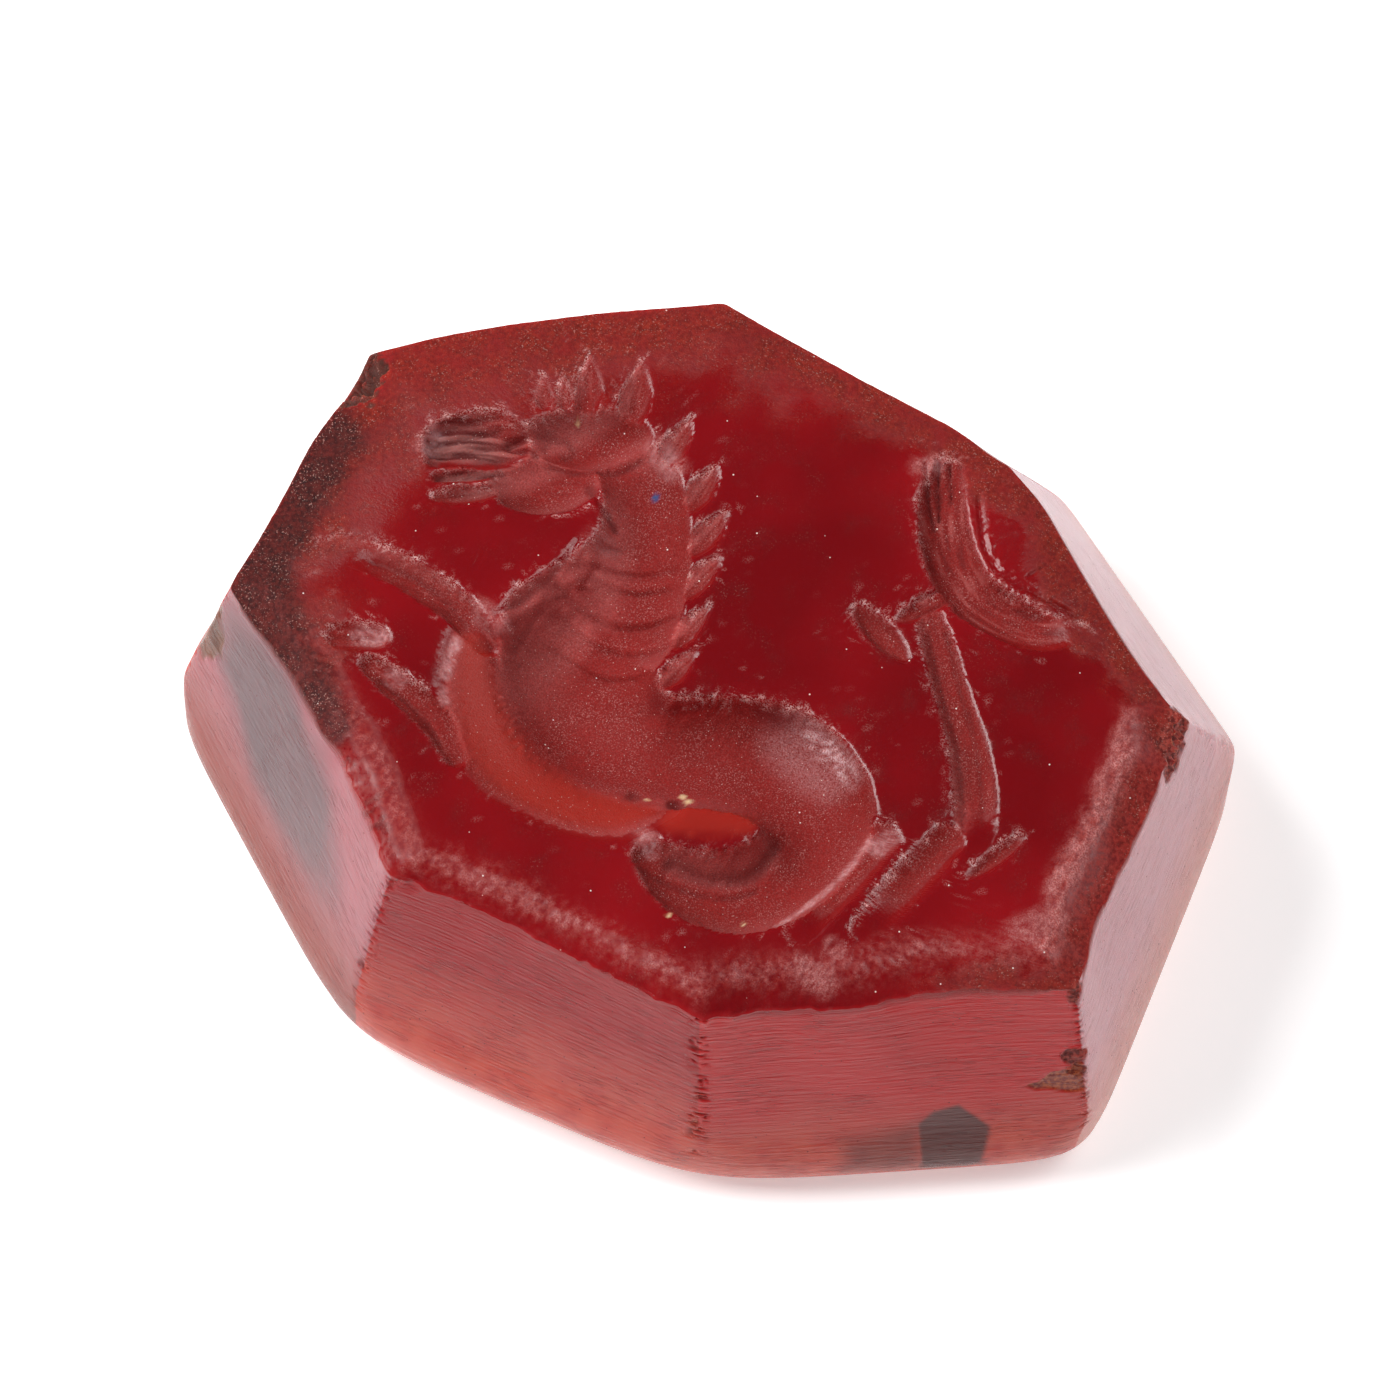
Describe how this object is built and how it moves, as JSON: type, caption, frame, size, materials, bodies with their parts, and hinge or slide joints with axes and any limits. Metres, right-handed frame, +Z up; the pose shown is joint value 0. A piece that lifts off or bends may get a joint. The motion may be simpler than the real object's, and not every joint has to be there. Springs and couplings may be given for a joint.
{
  "type": "intaglio gem",
  "caption": "Bevelled octagonal carnelian ring stone with a sea horse cut into its worn table, flat underneath for a bezel.",
  "frame": {"origin": "middle of the stone's box, on the flat underside", "axes": "+X along the stone's long axis towards the end by the tail fin, +Y across it towards the side by the mane, +Z up through the engraved table"},
  "size_m": [0.0129, 0.0108, 0.004],
  "materials": {
    "carnelian": "worn polish on the table, fine grinding lines on the bevels, dull dusty cuts"
  },
  "bodies": {
    "root": {"intaglio_stone": "carnelian"}
  },
  "joints": []
}
